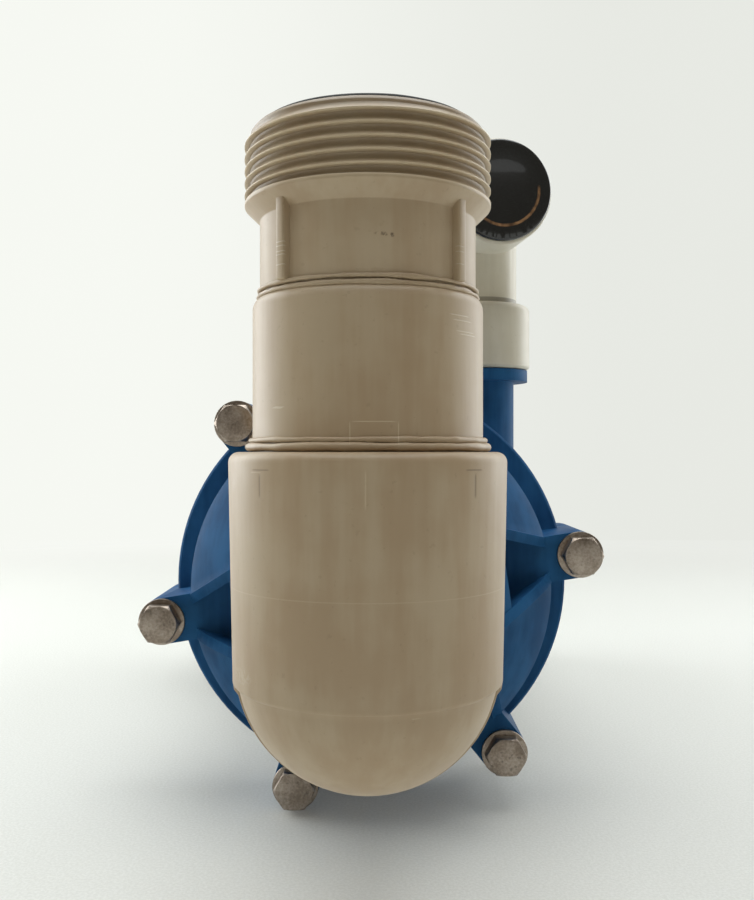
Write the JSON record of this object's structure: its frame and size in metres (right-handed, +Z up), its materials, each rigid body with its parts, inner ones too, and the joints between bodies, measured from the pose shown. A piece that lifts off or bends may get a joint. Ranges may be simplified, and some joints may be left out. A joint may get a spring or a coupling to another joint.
{
  "type": "centrifugal drainage pump",
  "caption": "Close-coupled centrifugal pump with a clamped volute casing, fused suction elbow and union end in front, capped discharge elbow on top and a foot-mounted motor behind.",
  "frame": {"origin": "centre of the foot's four slots, on the foot's underside", "axes": "+Z up, +Y rearwards along the shaft from the suction side to the motor's fan end, +X towards the discharge side (right when seen from the suction side)"},
  "size_m": [0.1936, 0.4803, 0.2742],
  "materials": {
    "casing_blue": "moulded, satin",
    "fitting_beige": "moulded, satin",
    "fitting_white": "moulded, satin",
    "cap_black": "glossy",
    "stainless_steel": "turned and rolled",
    "bearing_steel": "ground",
    "black_rubber": "moulded",
    "seal_ceramic": "lapped",
    "seal_carbon": "lapped",
    "cast_alloy": "cast, machined faces",
    "core_laminations": "stacked sheet",
    "copper_winding": "varnished wire",
    "motor_paint": "semi-gloss paint",
    "black_plastic": "moulded"
  },
  "bodies": {
    "pump": {"suction_cover": "casing_blue", "volute_casing": "casing_blue", "casing_o_ring": "black_rubber", "casing_bolts": "stainless_steel", "casing_washers": "stainless_steel", "casing_nuts": "stainless_steel", "seal_seat": "seal_ceramic", "motor_bracket": "cast_alloy", "bracket_screws": "stainless_steel", "motor_face_bolts": "stainless_steel", "bearing_outer_rings": "bearing_steel", "front_end_bell": "cast_alloy", "rear_end_bell": "cast_alloy", "motor_housing": "motor_paint", "stator_core": "core_laminations", "stator_windings": "copper_winding", "through_bolts": "stainless_steel", "fan_cover": "motor_paint", "fan_cover_screws": "stainless_steel", "motor_foot": "motor_paint", "terminal_box": "motor_paint", "terminal_lid": "motor_paint", "lid_gasket": "black_rubber", "lid_screws": "stainless_steel", "cable_gland": "black_plastic", "gland_nut": "black_plastic", "suction_adapter": "fitting_beige", "suction_elbow": "fitting_beige", "coupling_sleeve": "fitting_beige", "union_end": "fitting_beige", "union_o_ring": "black_rubber", "discharge_adapter": "fitting_white", "discharge_elbow": "fitting_white"},
    "rotor": {"motor_shaft": "stainless_steel", "impeller": "casing_blue", "impeller_nut": "stainless_steel", "seal_ring": "seal_carbon", "seal_bellows": "black_rubber", "seal_spring": "stainless_steel", "shaft_slinger": "black_rubber", "rotor_core": "core_laminations", "rotor_cage": "cast_alloy", "bearing_inner_rings": "bearing_steel", "cooling_fan": "black_plastic"},
    "ball_trains": {"bearing_balls": "bearing_steel"},
    "cap": {"outlet_cap": "cap_black"}
  },
  "joints": [
    {"name": "rotor_spin", "type": "hinge", "parent": "pump", "child": "rotor", "pos_m": [0, 0, 0.0889], "axis": [0, -1, 0], "continuous": true},
    {"name": "ball_train_spin", "type": "hinge", "parent": "pump", "child": "ball_trains", "pos_m": [0, 0, 0.0889], "axis": [0, -1, 0], "continuous": true},
    {"name": "outlet_cap_pull", "type": "slide", "parent": "pump", "child": "cap", "axis": [0.1392, -0.9903, 0], "range_m": [0, 0.03]}
  ],
  "couplings": [
    {"joint": "ball_train_spin", "follows": "rotor_spin", "ratio": 0.38}
  ]
}
